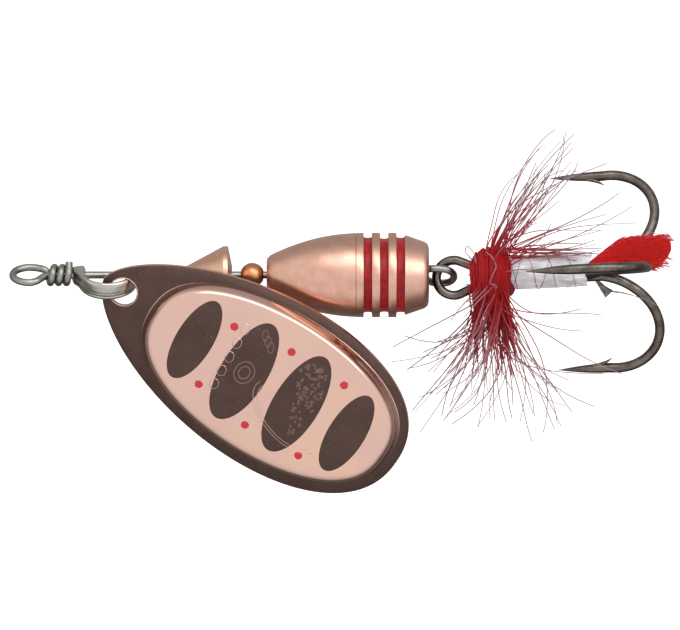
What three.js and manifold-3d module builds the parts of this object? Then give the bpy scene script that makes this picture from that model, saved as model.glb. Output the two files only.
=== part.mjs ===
// An inline spinner: a spoon blade that spins on a clevis round a wire shaft, ahead of a cone, a bead
// and a turned body, with a dressed treble hook linked to the wire's rear loop.
// Millimetres. The origin is the centre of the line eye, +X runs along the shaft to the rear, and the
// lure lies on a flat surface TABLE below the shaft with its single hook pointing up, +Z.
import * as THREE from 'three';
import * as BufferGeometryUtils from 'three/addons/utils/BufferGeometryUtils.js';
import Module from 'manifold-3d';

const wasm = await Module();
wasm.setup();

// Driving dimensions, in millimetres and degrees.
const TABLE = 3.84;
const SHAFT = {
  wire: 0.33,
  eye: { length: 1.55, width: 1.2, tilt: 55 },
  wraps: { turns: 2.85, start: 1.485, pitch: 0.72, radius: 0.7, tag: 0.55 },
  loop: { root: 35.0, end: 38.15, width: 1.35, tilt: 62, offset: -0.13, tag: 33.6 },
};
const BORE = 0.43;
const CLEVIS = {
  x: 7.0,
  rise: 0.54,
  radius: 2.45,
  lean: 32,
  width: 1.1,
  thick: 0.42,
  ear: 1.5,
  splay: 15,
  foot: 0.75,
};
const BLADE = {
  hole: [8.46, -1.44, 1.82],
  slopeX: 0.115,
  slopeY: 0.392,
  yaw: -32.3,
  front: -2.2,
  rear: 29.15,
  leaf: { size: 17.03, nose: 0.64, tail: 0.437 },
  panel: { front: 3.1, rear: 27.95, size: 12.45, nose: 0.41, tail: 0.4, aside: 0.33 },
  thick: 0.45,
  holeRadius: 1.28,
  rimRise: 0.5,
  step: 0.35,
  dome: 1.55,
};
const CONE = {
  tip: 13.6,
  tipRadius: 0.55,
  shoulder: 17.4,
  land: 0.42,
  radius: 2.6,
  back: 18.2,
  backRadius: 0.8,
};
const BEAD = { x: 20.0, radius: 1.1 };
const BODY = {
  nose: [[21.3, 1.35], [21.47, 1.66], [22.19, 2.06], [23.94, 2.77], [25.92, 3.35], [27.9, 3.68],
    [29.2, 3.78]],
  groove: { first: 30.03, pitch: 1.475, width: 0.74, depth: 0.6, count: 3 },
  land: 3.81,
  rear: { radius: 3.6, edge: [[35.5, 3.0], [35.8, 2.75], [35.9, 2.4]] },
  recess: { depth: 2.9, radius: 1.95 },
};
const TREBLE = {
  at: [38.15, -0.25, 0.206],
  roll: -1.2,
  pitch: 7.5,
  yaw: 2.7,
  wire: 0.45,
  ring: 1.58,
  shank: 0.54,
  singleShank: 0.64,
  arm: 10.0,
  bend: { x: 13.25, radius: 4.8, bulge: 0.07 },
  point: 8.5,
  singlePoint: 7.7,
  taper: 4.0,
};
const DRESSING = {
  inner: 1.16,
  head: { from: 3.35, to: 4.35, radius: 1.5 },
  winding: { from: 4.45, to: 5.6, radius: 1.6 },
  sleeve: { from: 5.75, to: 12.2, radius: 1.4 },
};
const HACKLE = {
  bundles: 14,
  root: 1.85,
  x: 5.0,
  thick: 0.3,
  width: 1.7,
  reach: 10.2,
  lean: 3.4,
  backward: 1.0,
};

const DEGREE = Math.PI / 180;
const X_AXIS = new THREE.Vector3(1, 0, 0);
const LEFT_LEG = 210;
const RIGHT_LEG = -30;
const NEAR_LEG = 90;

// Materials.
const finish = (color, metalness, roughness) =>
  new THREE.MeshStandardMaterial({ color, metalness, roughness });
const steel = finish(0x96948c, 1.0, 0.3);
const gunmetal = finish(0x554e48, 1.0, 0.35);
const roseCopper = finish(0xdeb4a0, 1.0, 0.25);
const copper = finish(0xbe7850, 1.0, 0.25);
const darkCopper = finish(0x55443e, 0.8, 0.4);
const sleeveWhite = finish(0xcdc8cd, 0.0, 0.4);
const threadRed = finish(0x8c1a1e, 0.0, 0.7);
const hackleRed = finish(0x9a2430, 0.0, 0.8);
const tailRed = finish(0xc81914, 0.0, 0.8);

// Shape helpers.

// The closed body through a row of rings with equal numbers of points, capped by a fan at each end.
function loft(rings) {
  const sides = rings[0].length;
  const points = rings.flat();
  const faces = [];
  for (let ring = 0; ring < rings.length - 1; ring += 1) {
    for (let side = 0; side < sides; side += 1) {
      const a = ring * sides + side;
      const b = ring * sides + ((side + 1) % sides);
      faces.push(a, b, a + sides, b, b + sides, a + sides);
    }
  }
  const lastRing = (rings.length - 1) * sides;
  for (const [ring, start] of [[rings[0], 0], [rings.at(-1), lastRing]]) {
    const centre = ring.reduce((sum, p) => sum.add(p), new THREE.Vector3()).divideScalar(sides);
    points.push(centre);
    for (let side = 0; side < sides; side += 1) {
      const a = start + side;
      const b = start + ((side + 1) % sides);
      faces.push(...(start === 0 ? [b, a, points.length - 1] : [a, b, points.length - 1]));
    }
  }
  const geometry = new THREE.BufferGeometry();
  geometry.setAttribute('position', new THREE.Float32BufferAttribute(points.flatMap((p) => p.toArray()), 3));
  geometry.setIndex(faces);
  return facingOut(geometry);
}

// The same body with its faces turned outward.
function facingOut(geometry) {
  const position = geometry.attributes.position;
  const index = geometry.index;
  const corner = (k) => new THREE.Vector3().fromBufferAttribute(position, index.getX(k));
  let volume = 0;
  for (let k = 0; k < index.count; k += 3) {
    volume += corner(k).dot(corner(k + 1).cross(corner(k + 2))) / 6;
  }
  if (volume < 0) {
    index.array.reverse();
  }
  geometry.computeVertexNormals();
  return geometry;
}

// A round wire along a path of points; radiusAt gives the radius at each point.
function wire(path, radiusAt, sides = 8) {
  let across = new THREE.Vector3(0.31, 0.52, 0.8);
  const rings = path.map((point, k) => {
    const ahead = path[Math.min(k + 1, path.length - 1)];
    const behind = path[Math.max(k - 1, 0)];
    const along = ahead.clone().sub(behind).normalize();
    across = across.clone().addScaledVector(along, -across.dot(along)).normalize();
    const up = along.clone().cross(across);
    return Array.from({ length: sides }, (_, side) => {
      const angle = (2 * Math.PI * side) / sides;
      return point.clone()
        .addScaledVector(across, radiusAt(k, point) * Math.cos(angle))
        .addScaledVector(up, radiusAt(k, point) * Math.sin(angle));
    });
  });
  return loft(rings);
}

// Points along a smooth curve through a few hand-set points.
function smooth(points, steps) {
  return new THREE.CatmullRomCurve3(points, false, 'centripetal').getSpacedPoints(steps);
}

// A body turned about the X axis, from a profile of [x, radius] points that closes on itself.
function turned(profile, segments = 32) {
  const points = [...profile, profile[0]].map(([x, radius]) => new THREE.Vector2(radius, x));
  const geometry = new THREE.LatheGeometry(points, segments).rotateZ(-Math.PI / 2);
  return facingOut(merged(geometry));
}

function merged(geometry) {
  const bare = geometry.clone();
  bare.deleteAttribute('normal');
  bare.deleteAttribute('uv');
  return BufferGeometryUtils.mergeVertices(bare, 1e-5);
}

// Booleans with manifold-3d.
function toSolid(geometry) {
  const clean = merged(geometry);
  return new wasm.Manifold(new wasm.Mesh({
    numProp: 3,
    vertProperties: new Float32Array(clean.attributes.position.array),
    triVerts: new Uint32Array(clean.index.array),
  }));
}

function fromSolid(solid) {
  const { vertProperties, triVerts } = solid.getMesh();
  const geometry = new THREE.BufferGeometry();
  geometry.setAttribute('position', new THREE.BufferAttribute(vertProperties, 3));
  geometry.setIndex(new THREE.BufferAttribute(triVerts, 1));
  geometry.computeVertexNormals();
  return geometry;
}

const cut = (body, tool) => fromSolid(toSolid(body).subtract(toSolid(tool)));
const join = (...bodies) => fromSolid(bodies.map(toSolid).reduce((sum, body) => sum.add(body)));

// A vector in the YZ plane: angle 0 along +Y, turning toward +Z.
const radial = (angle, length = 1) =>
  new THREE.Vector3(0, length * Math.cos(angle * DEGREE), length * Math.sin(angle * DEGREE));
const onAxis = (x) => new THREE.Vector3(x, 0, 0);
const offAxis = (x, direction, distance) => onAxis(x).addScaledVector(direction, distance);

// The shaft wire: line eye, wraps, shaft and rear loop, from the tag end at the wraps to the tag end
// inside the body.

function wrapPath() {
  const { turns, start, pitch, radius, tag } = SHAFT.wraps;
  const first = 0.2;
  const steps = 14;
  const coil = [];
  for (let k = 0; k <= (turns - first) * steps; k += 1) {
    const turn = first + k / steps;
    coil.push(offAxis(start + pitch * turn, radial(-360 * turn), radius));
  }
  const end = coil.at(-1);
  const heading = end.clone().sub(coil.at(-2)).setX(0).normalize();
  coil.push(end.clone().addScaledVector(heading, tag));
  return coil.reverse();
}

function eyePath() {
  const { length, width, tilt } = SHAFT.eye;
  const far = radial(-tilt);
  const points = [offAxis(1.25, far, width * 0.72), offAxis(0.75, far, width * 0.9)];
  for (let angle = 90; angle <= 270; angle += 18) {
    points.push(offAxis(length * Math.cos(angle * DEGREE), far, width * Math.sin(angle * DEGREE)));
  }
  points.push(offAxis(0.6, far, -width * 0.8));
  points.push(offAxis(1.1, far, -width * 0.36));
  points.push(offAxis(1.5, far, -width * 0.1));
  points.push(onAxis(1.95));
  return smooth(points, 34);
}

function rearLoopPath() {
  const { root, end, width, tilt, offset, tag } = SHAFT.loop;
  const out = radial(tilt);
  const at = (x, distance) => offAxis(x, out, distance).add(new THREE.Vector3(0, offset * (x - root) / 3, 0));
  const bow = end - 1.1;
  const points = [onAxis(root - 0.6), at(root, -0.12), at(root + 0.7, -width * 0.6), at(root + 1.35, -width)];
  for (let angle = -90; angle <= 90; angle += 22.5) {
    points.push(at(bow + 1.1 * Math.cos(angle * DEGREE), width * Math.sin(angle * DEGREE)));
  }
  points.push(at(root + 1.35, width), at(root + 0.7, width * 0.85), at(root, width * 0.66));
  points.push(offAxis(root - 0.5, out, 0.78), offAxis(tag, out, 0.78));
  return smooth(points, 44);
}

function shaftWire() {
  const path = [...wrapPath(), ...eyePath(), ...rearLoopPath()];
  return wire(path, () => SHAFT.wire);
}

// The clevis: a band bent to a stirrup in a plane through the shaft, with wider ears bored for the wire.
function clevis() {
  const bow = new THREE.Vector3(0, -Math.sin(CLEVIS.lean * DEGREE), Math.cos(CLEVIS.lean * DEGREE));
  const side = X_AXIS.clone().cross(bow);
  const { x, rise, radius, splay, foot, width, thick, ear } = CLEVIS;
  const spread = Math.tan(splay * DEGREE);
  const path = [];
  for (const height of [-foot, -foot / 2, 0, foot / 2]) {
    path.push([x - radius - (rise - height) * spread, height]);
  }
  for (let angle = 170; angle >= 10; angle -= 16) {
    path.push([x + radius * Math.cos(angle * DEGREE), rise + radius * Math.sin(angle * DEGREE)]);
  }
  for (const height of [foot / 2, 0, -foot / 2, -foot]) {
    path.push([x + radius + (rise - height) * spread, height]);
  }
  const rings = path.map(([px, height], k) => {
    const ahead = path[Math.min(k + 1, path.length - 1)];
    const behind = path[Math.max(k - 1, 0)];
    const normal = new THREE.Vector2(behind[1] - ahead[1], ahead[0] - behind[0]).normalize();
    const earShare = THREE.MathUtils.clamp((rise + 0.6 - height) / 0.9, 0, 1);
    const roundEnd = height < 0 ? Math.sqrt(1 - (height / foot) ** 2 * 0.7) : 1;
    const halfWidth = (width + (ear - width) * earShare) * roundEnd / 2;
    const halfThick = thick / 2;
    return [[-1, -0.6], [-0.72, -1], [0.72, -1], [1, -0.6], [1, 0.6], [0.72, 1], [-0.72, 1], [-1, 0.6]]
      .map(([across, through]) => onAxis(px + normal.x * halfThick * through)
        .addScaledVector(bow, height + normal.y * halfThick * through)
        .addScaledVector(side, halfWidth * across));
  });
  const drill = new THREE.CylinderGeometry(BORE, BORE, 30, 24).rotateZ(Math.PI / 2);
  return cut(loft(rings), drill);
}

// The blade, in its own frame: hole centre at the origin, X to the tip, Z out of the convex face.

function leafOutline({ front, rear, size, nose, tail, aside = 0 }, angle) {
  const along = (1 - Math.cos(angle)) / 2;
  const half = size * along ** nose * (1 - along) ** tail;
  return new THREE.Vector2(front + (rear - front) * along, aside + Math.sign(Math.sin(angle)) * half);
}

// Height of the convex face at a share of the way from the panel's centre to its edge.
const domeHeight = (share) => (
  BLADE.rimRise + BLADE.step + BLADE.dome * (1 - 0.32 * share ** 2 - 0.68 * share ** 12)
);

function bladeRings(segments) {
  const rim = { ...BLADE.leaf, front: BLADE.front, rear: BLADE.rear };
  const { panel } = BLADE;
  const centre = new THREE.Vector2((panel.front + panel.rear) / 2, panel.aside);
  const ring = (height, pointAt) => Array.from({ length: segments }, (_, k) => {
    const angle = (2 * Math.PI * (k + 0.5)) / segments;
    const point = pointAt(angle);
    return new THREE.Vector3(point.x, point.y, height);
  });
  const onPanel = (share) => (angle) => leafOutline(panel, angle).lerp(centre, 1 - share);
  const rings = [0.12, 0.5, 0.75, 0.88, 0.95, 1].map((share) => ring(domeHeight(share), onPanel(share)));
  const footOf = (angle) => leafOutline(panel, angle).lerp(leafOutline(rim, angle), 0.25);
  rings.push(ring(BLADE.rimRise, footOf));
  rings.push(ring(0, (angle) => leafOutline(rim, angle)));
  return rings;
}

function blade() {
  const top = bladeRings(44);
  const under = top.map((ring) => ring.map((p) => p.clone().setZ(p.z - BLADE.thick))).reverse();
  const hole = new THREE.CylinderGeometry(BLADE.holeRadius, BLADE.holeRadius, 6, 24).rotateX(Math.PI / 2);
  return cut(loft([...top, ...under]), hole);
}

function placeBlade(mesh) {
  const yaw = BLADE.yaw * DEGREE;
  const out = new THREE.Vector3(-BLADE.slopeX, -BLADE.slopeY, 1).normalize();
  const rise = BLADE.slopeX * Math.cos(yaw) + BLADE.slopeY * Math.sin(yaw);
  const toTip = new THREE.Vector3(Math.cos(yaw), Math.sin(yaw), rise).normalize();
  const frame = new THREE.Matrix4().makeBasis(toTip, out.clone().cross(toTip), out);
  mesh.quaternion.setFromRotationMatrix(frame);
  mesh.position.set(...BLADE.hole);
  return mesh;
}

// The turned pieces on the shaft.

function cone() {
  const { tip, tipRadius, shoulder, land, radius, back, backRadius } = CONE;
  return turned([[tip, BORE], [tip, tipRadius], [shoulder, radius], [shoulder + land, radius],
    [back, backRadius], [back, BORE]]);
}

function bead() {
  const profile = [];
  const rim = Math.asin(BORE / BEAD.radius) / DEGREE;
  for (let step = 0; step <= 10; step += 1) {
    const angle = (rim + (180 - 2 * rim) * step / 10) * DEGREE;
    profile.push([BEAD.x - BEAD.radius * Math.cos(angle), BEAD.radius * Math.sin(angle)]);
  }
  return turned(profile, 24);
}

function body() {
  const { nose, groove, land, rear, recess } = BODY;
  const profile = [[nose[0][0], BORE], ...nose];
  for (let k = 0; k < groove.count; k += 1) {
    const from = groove.first + k * groove.pitch;
    const to = from + groove.width;
    const bottom = land - groove.depth;
    profile.push([from, land], [from, bottom], [to, bottom], [to, k < groove.count - 1 ? land : rear.radius]);
  }
  profile.push(...rear.edge);
  const end = rear.edge.at(-1)[0];
  profile.push([end, recess.radius], [end - recess.depth, recess.radius], [end - recess.depth, BORE]);
  return turned(profile, 36);
}

// The treble, in its own frame: ring centre at the origin, X along the shanks to the bends.

// A point of the bend: angle -90 at the shank, 90 at the point's arm.
function bendPoint(angle, shank) {
  const { x, radius, bulge } = TREBLE.bend;
  const half = (TREBLE.arm - shank) / 2;
  const swell = 1 + bulge * Math.sin(2 * angle * DEGREE);
  const across = shank + half + half * swell * Math.sin(angle * DEGREE);
  return [x + radius * swell * Math.cos(angle * DEGREE), across];
}

// From the shank's end of the bend round to the sharp point, as [x, distance from the shank axis].
function hookPath(shank, tip) {
  const path = [];
  for (let angle = -90; angle <= 90; angle += 15) {
    path.push(bendPoint(angle, shank));
  }
  for (let x = TREBLE.bend.x - 0.75; x >= tip; x -= 0.75) {
    path.push([x, TREBLE.arm]);
  }
  path.push([tip, TREBLE.arm]);
  return path;
}

const inPlane = (leg) => ([x, distance]) => offAxis(x, radial(leg), distance);

// Full wire up to the taper, then down to a sharp point; only the point's arm stands this far out.
function hookRadius(point, tip) {
  const outer = Math.hypot(point.y, point.z) > TREBLE.arm - 0.05;
  const share = outer ? THREE.MathUtils.clamp((point.x - tip) / TREBLE.taper, 0, 1) : 1;
  return Math.max(0.05, TREBLE.wire * share ** 0.75);
}

// The sliver cut up from the inside of the point's arm.
function barb(leg) {
  const out = radial(leg);
  const side = X_AXIS.clone().cross(out);
  const section = (x, inner, outer, half) => [[inner, half], [inner, -half], [outer, -half], [outer, half]]
    .map(([distance, across]) => offAxis(x, out, distance).addScaledVector(side, across));
  const arm = TREBLE.arm;
  return loft([section(11.9, arm - 0.4, arm - 0.2, 0.12), section(12.9, arm - 0.62, arm - 0.2, 0.16),
    section(13.7, arm - 0.98, arm - 0.86, 0.06)]);
}

function doubleHook() {
  const leg = (angle) => hookPath(TREBLE.shank, TREBLE.point).map(inPlane(angle));
  const foot = radial(RIGHT_LEG, TREBLE.shank);
  const neck = (side) => [
    new THREE.Vector3(4.0, side * foot.y, foot.z),
    new THREE.Vector3(3.0, side * 0.56, foot.z * 0.7),
    new THREE.Vector3(1.9, side * 0.9, foot.z * 0.25),
  ];
  const ring = [];
  for (let angle = 60 * DEGREE; angle <= 300 * DEGREE; angle += 16 * DEGREE) {
    ring.push(new THREE.Vector3(TREBLE.ring * Math.cos(angle), TREBLE.ring * Math.sin(angle), 0));
  }
  const eye = smooth([...neck(1), ...ring, ...neck(-1).reverse()], 44);
  const path = [...leg(RIGHT_LEG).reverse(), ...eye, ...leg(LEFT_LEG)];
  const pair = wire(path, (_, point) => hookRadius(point, TREBLE.point));
  return join(pair, barb(RIGHT_LEG), barb(LEFT_LEG));
}

function singleHook() {
  const { singleShank, singlePoint } = TREBLE;
  const path = [[3.6, singleShank], ...hookPath(singleShank, singlePoint)].map(inPlane(NEAR_LEG));
  return join(wire(path, (_, point) => hookRadius(point, singlePoint)), barb(NEAR_LEG));
}

// The dressing on the shanks.

function sleeveRing({ from, to, radius }, soften = 0) {
  const inner = DRESSING.inner;
  return turned([[from, inner], [from, radius - soften], [from + soften, radius], [to - soften, radius],
    [to, radius - soften], [to, inner]], 20);
}

// One bundle of hackle barbs: a thin curved leaf that stands out from the winding at an angle.
function hackleBundle(k) {
  const angle = (360 * k) / HACKLE.bundles + 8;
  const out = radial(angle);
  const side = X_AXIS.clone().cross(out);
  const up = Math.sin(angle * DEGREE);
  const lean = HACKLE.lean * Math.cos(angle * DEGREE) + HACKLE.backward;
  const spread = HACKLE.reach * (0.86 + 0.14 * Math.cos(3 * angle * DEGREE));
  const reach = up < -0.2 ? Math.min(spread, (TABLE - 0.75) / -up) : spread;
  const narrowing = Math.min(1, reach / 6);
  const section = (share, wide) => {
    const middle = offAxis(HACKLE.x + lean * share ** 1.4, out, HACKLE.root + (reach - HACKLE.root) * share);
    return [[1, 1], [-1, 1], [-1, -1], [1, -1]].map(([across, through]) => middle.clone()
      .addScaledVector(side, across * wide * narrowing / 2)
      .addScaledVector(X_AXIS, through * HACKLE.thick / 2));
  };
  const { width } = HACKLE;
  return loft([section(0, 0.5), section(0.35, width), section(0.7, width * 0.9), section(1, 0.4)]);
}

// The tail: a flat feather tip beside the root of the single hook.
function tailTuft() {
  const stations = [
    { at: [12.5, 1.15, 1.0], half: [0.16, 0.16] },
    { at: [14.2, 1.1, 1.0], half: [0.42, 0.3] },
    { at: [16.0, 1.35, 0.95], half: [0.8, 0.42] },
    { at: [17.8, 1.45, 0.9], half: [1.3, 0.5] },
    { at: [19.2, 1.5, 0.9], half: [1.3, 0.45] },
    { at: [19.9, 1.5, 0.9], half: [0.8, 0.25] },
  ];
  return loft(stations.map(({ at, half }) => Array.from({ length: 10 }, (_, k) => {
    const angle = (2 * Math.PI * k) / 10;
    return new THREE.Vector3(at[0], at[1] + half[0] * Math.cos(angle), at[2] + half[1] * Math.sin(angle));
  })));
}

// The assembly.

function part(name, geometry, material) {
  const mesh = new THREE.Mesh(geometry, material);
  mesh.name = name;
  return mesh;
}

const treble = new THREE.Group();
treble.position.set(...TREBLE.at);
treble.rotation.set(TREBLE.roll * DEGREE, -TREBLE.pitch * DEGREE, TREBLE.yaw * DEGREE, 'ZYX');
treble.add(
  part('treble_double_hook', doubleHook(), gunmetal),
  part('treble_single_hook', singleHook(), gunmetal),
  part('thread_head', sleeveRing(DRESSING.head, 0.15), threadRed),
  part('hackle_winding', sleeveRing(DRESSING.winding, 0.2), hackleRed),
  part('shank_sleeve', sleeveRing(DRESSING.sleeve), sleeveWhite),
  part('tail_tuft', tailTuft(), tailRed),
);
for (let k = 0; k < HACKLE.bundles; k += 1) {
  treble.add(part(`hackle_bundle_${String(k + 1).padStart(2, '0')}`, hackleBundle(k), hackleRed));
}

const spinner = new THREE.Group();
spinner.add(
  part('shaft_wire', shaftWire(), steel),
  part('clevis', clevis(), steel),
  placeBlade(part('blade', blade(), darkCopper)),
  part('cone', cone(), copper),
  part('bead', bead(), copper),
  part('body', body(), roseCopper),
  treble,
);

export default spinner;
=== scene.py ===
"""An inline spinner on a pale table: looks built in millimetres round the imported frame, put in metres."""
import random
from math import asin, atan, atan2, copysign, cos, hypot, pi, sin, sqrt, tan

import bpy
import numpy as np
from mathutils import Matrix, Vector


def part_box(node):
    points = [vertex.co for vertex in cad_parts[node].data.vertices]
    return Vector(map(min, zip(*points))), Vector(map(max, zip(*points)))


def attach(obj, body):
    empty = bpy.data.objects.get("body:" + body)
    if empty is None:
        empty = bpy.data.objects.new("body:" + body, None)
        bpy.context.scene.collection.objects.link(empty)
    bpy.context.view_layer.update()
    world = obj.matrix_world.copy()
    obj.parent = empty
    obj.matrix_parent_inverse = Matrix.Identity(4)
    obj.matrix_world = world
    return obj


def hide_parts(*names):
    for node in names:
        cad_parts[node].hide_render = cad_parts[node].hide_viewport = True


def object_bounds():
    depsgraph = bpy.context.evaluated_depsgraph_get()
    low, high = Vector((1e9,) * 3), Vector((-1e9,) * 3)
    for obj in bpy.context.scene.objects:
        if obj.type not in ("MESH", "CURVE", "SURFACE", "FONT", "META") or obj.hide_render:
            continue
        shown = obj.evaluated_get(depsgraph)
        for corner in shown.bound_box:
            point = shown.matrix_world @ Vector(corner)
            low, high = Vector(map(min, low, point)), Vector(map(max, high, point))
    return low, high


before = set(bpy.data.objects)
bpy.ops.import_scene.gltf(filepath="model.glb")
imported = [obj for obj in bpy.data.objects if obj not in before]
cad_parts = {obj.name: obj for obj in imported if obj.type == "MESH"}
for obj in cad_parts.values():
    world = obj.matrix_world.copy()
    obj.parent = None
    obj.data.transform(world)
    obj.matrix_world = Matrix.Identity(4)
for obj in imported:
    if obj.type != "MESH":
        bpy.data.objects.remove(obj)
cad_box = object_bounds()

MM = 0.001
DEGREE = pi / 180
SEED = 7

# Driving dimensions in millimetres and degrees. They follow the CAD nodes, and shape the clevis's ears, the
# blade's nose and the panel's crown more closely than those do.
WIRE = 0.33
EYE = {"length": 1.55, "width": 1.2, "tilt": 55}
WRAPS = {"turns": 2.85, "start": 1.485, "pitch": 0.72, "radius": 0.7, "tag": 0.55}
LOOP = {"root": 35.0, "end": 38.15, "width": 1.35, "tilt": 62, "offset": -0.13, "tag": 33.6}
BORE = 0.43
CLEVIS = {"rise": 0.54, "radius": 2.45, "lean": 32, "width": 1.7, "thick": 0.46, "ear": 1.55,
          "aside": -0.13, "ear_thick": 1.12, "splay": 15, "foot": 0.75, "hole": 0.4}
BLADE = {"hole": (8.46, -1.44, 1.82), "slope_x": 0.115, "slope_y": 0.392, "yaw": -32.3, "thick": 0.45,
         "hole_radius": 1.28, "hole_slope": 0.1355, "rim_rise": 0.5, "step": 0.35, "wall": 0.26, "dome": 1.55}
LEAF = {"front": -2.1, "rear": 29.15, "size": 17.03, "nose": 0.64, "tail": 0.437, "aside": 0.0}
PANEL = {"front": 3.1, "rear": 27.95, "size": 12.45, "nose": 0.41, "tail": 0.4, "aside": 0.33}
CONE = {"tip_radius": 0.55, "shoulder": 17.4, "land": 0.42, "back_radius": 0.8}
NOSE = [(21.3, 1.35), (21.47, 1.66), (22.19, 2.06), (23.94, 2.77), (25.92, 3.35), (27.9, 3.68), (29.2, 3.78)]
GROOVE = {"first": 30.03, "pitch": 1.475, "width": 0.74, "depth": 0.6, "count": 3, "paint": 0.09}
REAR = {"radius": 3.6, "edge": [(35.5, 3.0), (35.8, 2.75), (35.9, 2.4)], "recess": 2.9, "recess_radius": 1.95}
TREBLE = {"at": (38.15, -0.25, 0.206), "roll": -1.2, "pitch": 7.5, "yaw": 2.7, "wire": 0.45, "ring": 1.58,
          "shank": 0.54, "single_shank": 0.64, "arm": 10.0, "bend_x": 13.25, "bend_radius": 4.8,
          "bulge": 0.07, "point": 8.5, "single_point": 7.7, "taper": 4.6}
LEFT_LEG, RIGHT_LEG, NEAR_LEG = 210, -30, 90
WINDING = {"from": 1.75, "length": 3.55, "under": -1.75}
SLEEVE = {"from": 5.3, "to": 12.2, "inner": 1.22, "outer": 1.4}
HEAD = {"from": 3.35, "to": 4.35, "radius": 1.5}
HACKLE = {"bundles": 14, "upper": 13.7, "lower": 14.2, "near_lean": 112, "root": (2.7, 4.7),
          "radius": (0.048, 0.07)}
COUNTS = {"stipple": 230, "skirt": 120, "stubs": 46, "strands": 18, "tail": 330}
TAIL_Z = 0.86
FLOOR_DROP = 32

table_z = cad_box[0].z / MM
rng = random.Random(SEED)


# Camera, floor and light.

def make_camera():
    """Straight down on the lure, from far enough to flatten it as a long lens does."""
    centre = Vector((27.9, -3.6, 0)) * MM
    distance = 0.9
    view_width = 61.2 * MM
    data = bpy.data.cameras.new("camera")
    data.sensor_width = 36
    data.lens = data.sensor_width * distance / view_width
    data.clip_start = 0.01
    data.clip_end = 10
    camera = bpy.data.objects.new("camera", data)
    bpy.context.scene.collection.objects.link(camera)
    camera.location = centre + Vector((0, 0, distance))
    bpy.context.scene.camera = camera


def tint(red, green, blue):
    """A linear colour from the usual 0-255 values."""
    def linear(value):
        share = value / 255
        return share / 12.92 if share <= 0.04045 else ((share + 0.055) / 1.055) ** 2.4
    return (linear(red), linear(green), linear(blue), 1.0)


# Node trees: a value or another node's socket goes into a named input.

class Nodes:
    def __init__(self, tree):
        self.tree = tree

    def feed(self, socket, value):
        if isinstance(value, bpy.types.NodeSocket):
            self.tree.links.new(value, socket)
        else:
            socket.default_value = value

    def node(self, kind, inputs, **settings):
        made = self.tree.nodes.new("ShaderNode" + kind)
        for key, value in settings.items():
            setattr(made, key, value)
        for key, value in inputs.items():
            self.feed(made.inputs[key], value)
        return made

    def noise(self, scale, detail=3.0, rough=0.55, stretch=(1, 1, 1)):
        """Noise in the row frame, with scale and stretch per millimetre."""
        point = self.node("TexCoord", {}).outputs["Object"]
        per_metre = tuple(value / MM for value in stretch)
        place = self.node("VectorMath", {0: point, 1: per_metre}, operation="MULTIPLY").outputs[0]
        inputs = {"Vector": place, "Scale": scale, "Detail": detail, "Roughness": rough}
        return self.node("TexNoise", inputs).outputs["Fac"]

    def ramp(self, value, low, high, to_low=0.0, to_high=1.0):
        inputs = {"Value": value, "From Min": low, "From Max": high, "To Min": to_low, "To Max": to_high}
        return self.node("MapRange", inputs).outputs["Result"]

    def mix(self, factor, first, second):
        inputs = {"Factor": factor, "A": first, "B": second}
        return self.node("Mix", inputs, data_type="RGBA").outputs["Result"]

    def calc(self, operation, first, second):
        return self.node("Math", {0: first, 1: second}, operation=operation).outputs[0]

    def bump(self, height, distance, strength=1.0, under=None):
        inputs = {"Height": height, "Distance": distance * MM, "Strength": strength}
        if under is not None:
            inputs["Normal"] = under
        return self.node("Bump", inputs).outputs["Normal"]


# Recipes: each gives the shader's inputs for one kind of surface.

def material(name, recipe, *settings):
    made = bpy.data.materials.new(name)
    made.use_nodes = True
    nodes = Nodes(made.node_tree)
    shader = made.node_tree.nodes["Principled BSDF"]
    for key, value in recipe(nodes, *settings).items():
        nodes.feed(shader.inputs[key], value)
    return made


def metal(n, bright, dull, roughness, marks, mark_depth, dirt, wear=None):
    """Metal with streaks of tarnish, fine tool marks stretched by marks, and brighter worn edges."""
    spots = n.noise(0.9, 5.0, 0.6)
    lines = n.noise(1.0, 4.0, 0.7, marks)
    grains = n.noise(9.0, 3.0, 0.6)
    colour = n.mix(n.calc("MULTIPLY", n.ramp(spots, 0.38, 0.68), dirt), bright, dull)
    colour = n.mix(n.ramp(lines, 0.35, 0.7, 0.0, 0.25), colour, dull)
    if wear is not None:
        point = n.node("NewGeometry", {}).outputs["Pointiness"]
        edge = n.calc("MULTIPLY", n.ramp(point, 0.53, 0.6), n.ramp(grains, 0.3, 0.6))
        colour = n.mix(edge, colour, wear)
    rough = n.ramp(n.calc("ADD", lines, grains), 0.6, 1.4, roughness * 0.8, roughness * 1.25)
    return {"Base Color": colour, "Metallic": 1.0, "Roughness": rough,
            "Normal": n.bump(lines, mark_depth, 0.8, n.bump(grains, 0.002, 0.5))}


def turned_copper(n, bright, dull, roughness):
    """Copper plate over turned brass: fine rings round the X axis."""
    return metal(n, bright, dull, roughness, (16, 0.25, 0.25), 0.006, 0.35, tint(236, 190, 160))


def panel_copper(n):
    """The pressed panel: polished rose copper with hair scratches and a pinker bloom to the front."""
    bloom = n.noise(0.16, 3.0, 0.5)
    scratch = n.noise(1.0, 5.0, 0.75, (1.0, 14, 6))
    speck = n.noise(5.5, 2.0, 0.5)
    colour = n.mix(n.ramp(bloom, 0.35, 0.65), tint(232, 193, 172), tint(226, 187, 176))
    colour = n.mix(n.ramp(scratch, 0.55, 0.8, 0.0, 0.35), colour, tint(196, 150, 130))
    colour = n.mix(n.ramp(speck, 0.73, 0.78, 0.0, 0.5), colour, tint(120, 82, 66))
    return {"Base Color": colour, "Metallic": 1.0, "Roughness": n.ramp(scratch, 0.3, 0.75, 0.13, 0.24),
            "Normal": n.bump(scratch, 0.0015, 0.6, n.bump(bloom, 0.05, 0.25))}


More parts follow.
